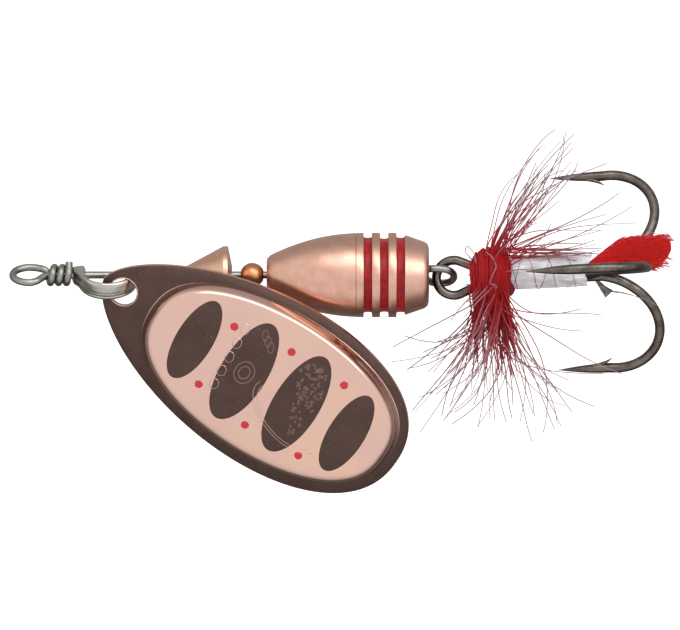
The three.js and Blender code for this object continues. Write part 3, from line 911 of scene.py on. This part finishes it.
TREBLE_FRAME = treble_matrix()


def on_treble(point):
    """A point of the treble's own frame, put in the row frame."""
    return tuple(TREBLE_FRAME @ Vector(point))


def treble_path(points):
    return [on_treble(point) for point in points]


def bend_point(angle, shank):
    """A point of the bend: angle -90 at the shank, 90 at the point's arm."""
    half = (TREBLE["arm"] - shank) / 2
    swell = 1 + TREBLE["bulge"] * sin(2 * angle * DEGREE)
    across = shank + half + half * swell * sind(angle)
    return TREBLE["bend_x"] + TREBLE["bend_radius"] * swell * cosd(angle), across


def hook_path(shank, leg, tip):
    """One hook from its shank round the bend and forward to the tip."""
    path = [bend_point(angle, shank) for angle in range(-90, 91, 5)]
    x = TREBLE["bend_x"] - 0.25
    while x > tip + 0.06:
        path.append((x, TREBLE["arm"]))
        x -= 0.25
    path.append((tip, TREBLE["arm"]))
    return [off_axis(x, radial(leg), distance) for x, distance in path]


def hook_radius(point, tip):
    """Full wire up to the taper, then down to a sharp point, on the point's arm only; thinner at the ring."""
    outer = hypot(point[1], point[2]) > TREBLE["arm"] - 0.05
    share = min(1.0, max(0.0, (point[0] - tip) / TREBLE["taper"])) if outer else 1.0
    wire = TREBLE["wire"] - 0.03 * min(1.0, max(0.0, (3.2 - point[0]) / 1.2))
    return max(0.035, wire * (1 - (1 - share) ** 1.7) ** 0.9)


def add_hook_wire(shape, path, tip):
    add_tube(shape, treble_path(path), [hook_radius(point, tip) for point in path], 20)


def add_barb(shape, leg):
    """The sliver cut up from the inside of the point's arm."""
    out = radial(leg)
    side = Vector((1, 0, 0)).cross(out)
    arm = TREBLE["arm"]
    stations = [(11.3, arm - 0.36, arm - 0.2, 0.05), (11.9, arm - 0.46, arm - 0.2, 0.15),
                (12.4, arm - 0.57, arm - 0.24, 0.2), (12.85, arm - 0.72, arm - 0.42, 0.19),
                (13.2, arm - 0.87, arm - 0.66, 0.13), (13.5, arm - 1.03, arm - 0.95, 0.04)]
    rings = []
    for x, inner, outer, half in stations:
        middle, reach = (inner + outer) / 2, (outer - inner) / 2
        rings.append(ring_of(10, lambda angle: on_treble(
            off_axis(x, out, middle + reach * sin(angle)) + side * half * cos(angle))))
    add_loft(shape, rings)


def double_hook_path():
    """One wire: a hook, its shank, the ring, the other shank and the other hook."""
    foot = radial(RIGHT_LEG, TREBLE["shank"])

    def neck(side):
        return [Vector((4.0, side * foot.y, foot.z)), Vector((3.0, side * 0.56, foot.z * 0.7)),
                Vector((1.9, side * 0.9, foot.z * 0.25))]

    size = TREBLE["ring"]
    ring = [Vector((size * cosd(angle), size * sind(angle), 0)) for angle in range(60, 301, 16)]
    eye = [Vector(point) for point in smooth([*neck(1), *ring, *reversed(neck(-1))], 120)]
    right = hook_path(TREBLE["shank"], RIGHT_LEG, TREBLE["point"])
    left = hook_path(TREBLE["shank"], LEFT_LEG, TREBLE["point"])
    return [*reversed(right), *eye, *left]


def make_hooks():
    double = Shape()
    add_hook_wire(double, double_hook_path(), TREBLE["point"])
    add_barb(double, RIGHT_LEG)
    add_barb(double, LEFT_LEG)
    piece("treble_double_hook_fine", double, ["gunmetal"], "treble", ["treble_double_hook"], 60)
    single = Shape()
    path = [off_axis(3.6, radial(NEAR_LEG), TREBLE["single_shank"]),
            off_axis(8.0, radial(NEAR_LEG), TREBLE["single_shank"]),
            *hook_path(TREBLE["single_shank"], NEAR_LEG, TREBLE["single_point"])]
    add_hook_wire(single, path, TREBLE["single_point"])
    add_barb(single, NEAR_LEG)
    piece("treble_single_hook_fine", single, ["gunmetal"], "treble", ["treble_single_hook"], 60)
    braze = Shape()
    rings = []
    for x, size in ((11.0, 0.72), (12.4, 0.74), (13.0, 0.66), (13.5, 0.5), (13.9, 0.3), (14.15, 0.08)):
        def spot(angle):
            lobes = size * (1 + 0.16 * cos(3 * (angle - pi / 2)))
            return on_treble((x, lobes * cos(angle), 0.06 + lobes * sin(angle)))
        rings.append(ring_of(24, spot))
    add_loft(braze, rings)
    piece("treble_braze", braze, ["gunmetal"], "treble", (), 60)


# The dressing on the shanks.

def helix(x_from, x_to, radius, pitch, phase=0.0, lean=0.0):
    """A coil about the X axis, its turns tilted to and fro by lean."""
    turns = (x_to - x_from) / pitch
    steps = int(turns * 28)
    path = []
    for k in range(steps + 1):
        angle = 360 * turns * k / steps + phase
        x = x_from + (x_to - x_from) * k / steps
        path.append(off_axis(x + lean * sind(angle), radial(angle), radius))
    return path


def make_thread_head():
    shape = Shape()
    base = HEAD["radius"] - 0.16
    front, back = HEAD["from"], HEAD["to"]
    stations = [(front, 1.16), (front + 0.08, base), (back - 0.08, base), (back, 1.16)]
    add_loft(shape, [ring_of(48, lambda angle: on_treble(off_axis(x, radial(angle), radius)), 360)
                     for x, radius in stations])
    for layer, phase in ((0.0, 0), (0.05, 120)):
        path = helix(front + 0.08 + layer, back - 0.08 - layer, base + 0.04 + layer, 0.13, phase)
        add_tube(shape, treble_path(path), 0.06, 6)
    piece("thread_head_fine", shape, ["thread"], "treble", ["thread_head"], 60)


def make_collar():
    """The wound root of the hackle: a lumpy mound of packed barbs, drawn down toward the lower side."""
    shape = Shape()
    rings = []
    phase = [rng.uniform(0, 6) for _ in range(4)]
    for step in range(25):
        share = step / 24
        x = WINDING["from"] + WINDING["length"] * share
        body = sin(pi * min(1.0, share * 0.94 + 0.03)) ** 0.55
        ring = []
        for k in range(72):
            angle = 360 * k / 72
            down = max(0.0, -cosd(angle))
            up = max(0.0, sind(angle))
            size = 0.75 + 1.15 * body + 0.55 * body * down + 0.2 * body * up
            size += 0.07 * sin(30 * share + phase[0] + 3 * angle * DEGREE)
            size += 0.05 * sin(23 * share + phase[1]) * body
            point = off_axis(x + 0.25 * down, radial(angle), size)
            point.z = max(point.z, WINDING["under"])
            ring.append(on_treble(point))
        rings.append(ring)
    add_loft(shape, rings)
    piece("hackle_winding_fine", shape, ["packed"], "treble", ["hackle_winding"], 60)


# The sleeve sits a little off the middle of the shanks.
SLEEVE_SHIFT = Vector((0, 0.1, 0))


def make_sleeve():
    """A thin clear tube slipped over the shanks, cut ragged at its rear end."""
    shape = Shape()
    segments = 72
    steps = 22
    lines = [(SLEEVE["outer"], 1, step) for step in range(steps + 1)]
    lines += [(SLEEVE["inner"], 0.6, step) for step in range(steps, -1, -1)]
    points = []
    for radius, sway, step in lines:
        share = step / steps
        for k in range(segments):
            angle = 360 * k / segments
            torn = 0.28 * cosd(angle) + 0.1 * sind(3 * angle) + 0.05 * sind(9 * angle)
            x = SLEEVE["from"] + (SLEEVE["to"] + torn - SLEEVE["from"]) * share
            size = radius + 0.03 * sin(2 * angle * DEGREE + 3 * share) * sway
            size += 0.05 * max(0.0, share - 0.85) / 0.15 * sind(5 * angle)
            points.append(on_treble(off_axis(x, radial(angle), size) + SLEEVE_SHIFT))
    shape.add(points, tube_faces(len(lines), segments, closed=True))
    piece("shank_sleeve_fine", shape, ["sleeve"], "treble", ["shank_sleeve"], 40)


def make_sleeve_thread():
    """Two loose ends of thread that run back round the sleeve, crossing each other."""
    shape = Shape()
    path = helix(5.0, 12.0, SLEEVE["outer"] + 0.035, 1.75, 30, 0.35)
    add_tube(shape, treble_path(point + SLEEVE_SHIFT for point in path), 0.026, 6)
    path = helix(5.2, 10.5, SLEEVE["outer"] + 0.05, 2.6, 200, -0.2)
    path = [Vector((point.x, point.y, -point.z)) + SLEEVE_SHIFT for point in path]
    add_tube(shape, treble_path(path), 0.022, 6)
    shape.along = [0.6 + 0.3 * sin(k * 0.05) for k in range(len(shape.points))]
    piece("sleeve_thread", shape, ["hackle"], "treble")


def keep_above(point):
    """Lifts a point in the row frame so that it lies on the table rather than under it."""
    return Vector((point[0], point[1], max(point[2], table_z + 0.08)))


def add_fibre(shape, root, tip, bow, radius, along=(0.0, 1.0), steps=14, wave=0.0, elbow=None):
    """One barb from root to tip, turned at its elbow, bowed and thinning to the tip, in the row frame."""
    root, tip, bow = Vector(root), Vector(tip), Vector(bow)
    elbow = root.lerp(tip, 0.5) if elbow is None else Vector(elbow)
    phase = rng.uniform(0, 6)
    path, sizes, shares = [], [], []
    for step in range(steps + 1):
        t = step / steps
        point = root * (1 - t) ** 2 + elbow * 2 * t * (1 - t) + tip * t**2
        point += bow * (4 * t * (1 - t)) * (0.6 + 0.8 * t)
        point += Vector((sin(9 * t + phase), cos(7 * t + phase), 0)) * wave * t
        path.append(keep_above(point))
        sizes.append(radius * (1 - 0.35 * t**1.8))
        shares.append(along[0] + (along[1] - along[0]) * t)
    add_tube(shape, path, sizes, 5, 0, shares)


def fan_barb(up):
    """One barb's lean back (0 along +X, 90 straight out) and length, for the upper or the lower fan."""
    if up:
        lean = rng.choice((rng.gauss(61, 4), rng.gauss(56, 7), rng.gauss(56, 7), rng.uniform(12, 66)))
        return lean, rng.uniform(0.55, 1.0) * HACKLE["upper"]
    lean = rng.choice((rng.gauss(132, 11), rng.gauss(104, 14), rng.gauss(62, 14), rng.uniform(8, 156)))
    lean = min(lean, 156)
    return lean, rng.uniform(0.6, 1.02) * (HACKLE["lower"] - 2.6 * max(0.0, lean - 100) / 55)


def make_hackle():
    """Fourteen bundles of barbs round the winding, longest across the lure and short over and under it.

    Those on the near side lean forward less, so that they clear the blade when the treble swings up.
    """
    for k in range(HACKLE["bundles"]):
        shape = Shape()
        middle = 360 * k / HACKLE["bundles"] + 8
        lower = cosd(middle) < 0
        for _ in range(int(3 + (15 if lower else 7) * abs(cosd(middle)))):
            angle = middle + rng.gauss(0, 9)
            side = cosd(angle)
            up = side > 0
            lean, length = fan_barb(up)
            if sind(angle) > 0.4:
                lean = min(lean, HACKLE["near_lean"])
            length *= 0.35 + 0.65 * min(1.0, abs(side) * 1.5)
            psi = lean * DEGREE
            out = radial(angle)
            out.z *= 0.4
            out.normalize()
            start = off_axis(rng.uniform(*HACKLE["root"]), radial(angle), rng.uniform(1.2, 1.9))
            first = (Vector(((0.8 if up else 0.35) * cos(psi), 0, 0)) + out).normalized()
            bend = start + first * length * rng.uniform(0.25, 0.45)
            end = start + Vector((cos(psi), 0, 0)) * length + out * sin(psi) * length
            root, elbow, tip = treble_path((start, bend, end))
            bow = Vector((rng.gauss(0, 0.07), rng.gauss(0, 0.07), rng.uniform(-0.02, 0.05))) * length
            add_fibre(shape, root, tip, bow, rng.uniform(*HACKLE["radius"]), elbow=elbow, wave=0.2)
        piece(f"hackle_barbs_{k + 1:02d}", shape, ["hackle"], "treble",
              [f"hackle_bundle_{k + 1:02d}"], 70)


def make_skirt():
    """Barbs that lie over the near side of the winding and run down into the lower fan."""
    shape = Shape()
    for _ in range(COUNTS["skirt"]):
        across = rng.uniform(0, 1)
        top_x = 2.0 + 3.0 * across
        mid_x = 1.75 + 3.5 * across + rng.gauss(0, 0.1)
        low_x = 1.9 + 3.1 * across + rng.gauss(0, 0.25)
        end_x = 3.4 + (across - 0.5) * rng.uniform(3.0, 6.5) + rng.gauss(0, 0.5)
        swell = 0.45 + 0.55 * sin(pi * min(0.98, max(0.02, across))) ** 0.6
        lift = rng.uniform(-0.05, 0.16)
        long_one = rng.random() < 0.5
        reach = rng.uniform(6.0, 9.5) if long_one else rng.uniform(3.6, 6.0)
        points = [
            (top_x, rng.uniform(0.9, 1.5) + 1.1 * swell, 0.1 + rng.uniform(-0.3, 0.5)),
            (mid_x, 1.1 * swell + 0.35, 1.0 + 0.7 * swell + lift),
            (mid_x, -0.2, 1.15 + 1.05 * swell + lift),
            (low_x, -1.6, 0.95 + 0.8 * swell + lift),
            (low_x, -2.9, 0.35 + 0.4 * swell + lift),
            (low_x + (end_x - low_x) * 0.45, -2.9 - (reach - 2.9) * 0.5, -0.3),
            (end_x, -reach, -1.3 + rng.uniform(-1.0, 0.4)),
        ]
        path = [keep_above(on_treble(point)) for point in smooth(points, 22)]
        radius = rng.uniform(0.07, 0.125)
        sizes = [radius * (1 - 0.7 * (k / 21) ** 2.2) for k in range(22)]
        shares = [0.05 + (0.85 if long_one else 0.5) * (k / 21) ** 1.6 for k in range(22)]
        add_tube(shape, path, sizes, 5, 0, shares)
    piece("hackle_skirt", shape, ["skirt"], "treble", (), 70)


def make_collar_stubs():
    """Short cut ends at the head, and a few stray loops on the collar."""
    shape = Shape()
    for _ in range(COUNTS["stubs"]):
        angle = rng.uniform(20, 160)
        start = off_axis(rng.uniform(1.7, 3.0), radial(angle), rng.uniform(1.2, 1.8))
        end = start + Vector((rng.uniform(-0.9, 0.1), 0, 0))
        end += radial(angle + rng.gauss(0, 20), rng.uniform(0.3, 0.9))
        add_fibre(shape, on_treble(start), on_treble(end), (0, 0.1, 0.05), 0.05, (0.0, 0.35), 6)
    for points in (
        [(1.9, 1.5, 1.5), (1.35, 2.3, 1.7), (1.5, 2.75, 1.6), (2.1, 2.1, 1.9), (2.3, 1.2, 2.1)],
        [(3.3, 2.1, 2.0), (3.9, 1.5, 2.45), (4.15, 0.7, 2.6), (3.8, 0.0, 2.65), (3.5, -0.7, 2.5)],
    ):
        path = treble_path(smooth(points, 24))
        add_tube(shape, path, 0.045, 6, 0, [0.9] * 24)
    piece("hackle_stubs", shape, ["hackle"], "treble", (), 70)


def make_top_strands():
    """Barbs swept back along the upper side of the sleeve toward the tail."""
    shape = Shape()
    for _ in range(COUNTS["strands"]):
        start = Vector((rng.uniform(4.2, 5.6), rng.uniform(1.2, 2.4), rng.uniform(0.2, 1.2)))
        length = rng.uniform(3.0, 9.0)
        end = start + Vector((length, rng.uniform(-0.75, 0.5), rng.uniform(-0.3, 0.5)))
        bow = Vector((0, rng.gauss(0.0, 0.25), 0.1))
        add_fibre(shape, on_treble(start), on_treble(end), bow, rng.uniform(0.045, 0.07), (0.1, 0.8))
    piece("hackle_back_strands", shape, ["hackle"], "treble", (), 70)


# The tail's web along X: its lower edge, its upper edge and half its thickness.
TAIL_STATIONS = [(12.4, 0.62, 0.85, 0.05), (13.6, 0.56, 1.72, 0.14), (15.1, 0.5, 2.72, 0.2),
                 (16.6, 0.5, 2.9, 0.22), (17.9, -0.15, 2.92, 0.22), (18.9, 0.3, 2.85, 0.2),
                 (19.5, 0.95, 2.6, 0.16), (19.82, 1.55, 2.2, 0.08)]


def make_tail():
    """A clipped red feather tip: a thin web of barbs with a loose paler fringe."""
    web = Shape()
    upper = smooth([(x, high, 0) for x, _, high, _ in TAIL_STATIONS], 60)
    lower = smooth([(x, low, 0) for x, low, _, _ in TAIL_STATIONS], 60)
    thick = np.interp(np.linspace(0, 1, 60), np.linspace(0, 1, len(TAIL_STATIONS)),
                      [half for _, _, _, half in TAIL_STATIONS])
    rings = []
    for top, low, half in zip(upper, lower, thick):
        middle = (top + low) / 2
        reach = np.linalg.norm(top - low) / 2
        ring = []
        for k in range(40):
            angle = 2 * pi * k / 40
            ripple = 1 + 0.03 * sin(7 * angle + middle[0] * 5) + rng.uniform(-0.012, 0.012)
            ring.append(on_treble((middle[0] + 0.3 * cos(angle) * (top[0] - low[0]),
                                   middle[1] + reach * ripple * cos(angle),
                                   TAIL_Z + half * sin(angle))))
        rings.append(ring)
    add_loft(web, rings)
    piece("tail_tuft_web", web, ["feather"], "treble", ["tail_tuft"], 60)
    barbs = Shape()
    for _ in range(COUNTS["tail"]):
        s = rng.uniform(0.1, 1.0)
        k = int(s * 59)
        side = rng.choice((1, -1))
        edge = upper[k] if side > 0 else lower[k]
        inner = (upper[k] + lower[k]) / 2
        depth = rng.uniform(0.55, 1.0)
        spot = inner + (edge - inner) * depth
        height = TAIL_Z + thick[k] * sqrt(max(0.0, 1 - depth**2)) + 0.01
        length = rng.uniform(0.4, 1.0)
        swing = side * rng.uniform(0.05, 0.5) * depth
        end = (spot[0] + length * cos(swing), spot[1] + length * sin(swing) * 0.9,
               TAIL_Z + rng.uniform(-0.05, 0.15))
        if end[0] > 20.1 or (end[1] < 0.5 and end[0] < 17.2):
            continue
        add_fibre(barbs, on_treble((spot[0], spot[1], height)), on_treble(end), (0, 0.03 * side, 0.02),
                  rng.uniform(0.03, 0.05), (0.0, 0.3 + 0.7 * depth**3), 6)
    piece("tail_tuft_barbs", barbs, ["fringe"], "treble", (), 70)


def make_quill():
    """The feather's cut stem below the sleeve's end, hollow, with two fine barbs left on it."""
    shape = Shape()
    line = smooth([(12.5, -0.35, -0.3), (12.95, -0.95, -0.35), (13.35, -1.5, -0.4), (13.9, -2.1, -0.4)], 14)
    outer = [0.14 + 0.34 * (k / 13) ** 2 for k in range(14)]
    rings = tube_points(treble_path(line), outer, 20)
    back = tube_points(treble_path(line[6:]), [size - 0.06 for size in outer[6:]], 20)
    add_loft(shape, [*rings, *reversed(back)])
    piece("feather_quill", shape, ["horn"], "treble", (), 50)
    strays = Shape()
    for tip, bow in (((16.6, -2.6, -0.5), 0.15), ((18.3, -3.4, -0.6), 0.25), ((15.2, -2.0, -0.4), -0.1)):
        add_fibre(strays, on_treble((13.6, -1.75, -0.4)), on_treble(tip), (0, bow, 0), 0.035, (0.4, 1.0))
    piece("quill_barbs", strays, ["hackle"], "treble", (), 70)


def make_stage():
    """A round floor, well below the lure, so that the shadow on it stays faint."""
    data = bpy.data.meshes.new("floor")
    reach = 4.0
    low = (table_z - FLOOR_DROP) * MM
    count = 64
    ring = ring_of(count, lambda angle: (reach * cos(angle), reach * sin(angle), low))
    data.from_pydata([*ring, (0, 0, low)], [], [[k, (k + 1) % count, count] for k in range(count)])
    data.materials.append(FINISH["floor"])
    floor = bpy.data.objects.new("floor", data)
    bpy.context.scene.collection.objects.link(floor)
    floor.visible_glossy = False


def softbox(name, place, target, size, power):
    data = bpy.data.lights.new(name, "AREA")
    data.shape = "RECTANGLE"
    data.size, data.size_y = size
    data.energy = power
    light = bpy.data.objects.new(name, data)
    bpy.context.scene.collection.objects.link(light)
    light.location = place
    aim = Vector(target) - Vector(place)
    light.rotation_mode = "QUATERNION"
    light.rotation_quaternion = aim.to_track_quat("-Z", "Y")
    light.visible_camera = False


def make_light():
    """A pale room, brighter overhead and behind the lure, with one soft box over the table."""
    world = bpy.data.worlds.new("studio")
    bpy.context.scene.world = world
    world.use_nodes = True
    n = Nodes(world.node_tree)
    parts = n.node("SeparateXYZ", {0: n.node("TexCoord", {}).outputs["Generated"]})
    lift = n.ramp(parts.outputs["Z"], -0.05, 0.5)
    toward = n.ramp(parts.outputs["Y"], -0.8, 0.6)
    low = n.mix(toward, (0.12, 0.11, 0.11, 1), (0.47, 0.46, 0.45, 1))
    n.feed(world.node_tree.nodes["Background"].inputs["Color"], n.mix(lift, low, (0.95, 0.95, 0.95, 1)))
    softbox("key", (0.19, 0.31, 0.42), (0.028, -0.004, 0), (0.75, 0.34), 1.5)


for make in (make_camera, make_stage, make_light, make_shaft_wire, make_clevis, make_blade,
             make_stripes_and_dots, make_embossing, make_cone, make_bead, make_body, make_groove_paint,
             make_hooks, make_thread_head, make_collar, make_sleeve, make_sleeve_thread, make_hackle,
             make_skirt, make_collar_stubs, make_top_strands, make_tail, make_quill):
    make()

bpy.context.scene.view_settings.view_transform = "Standard"
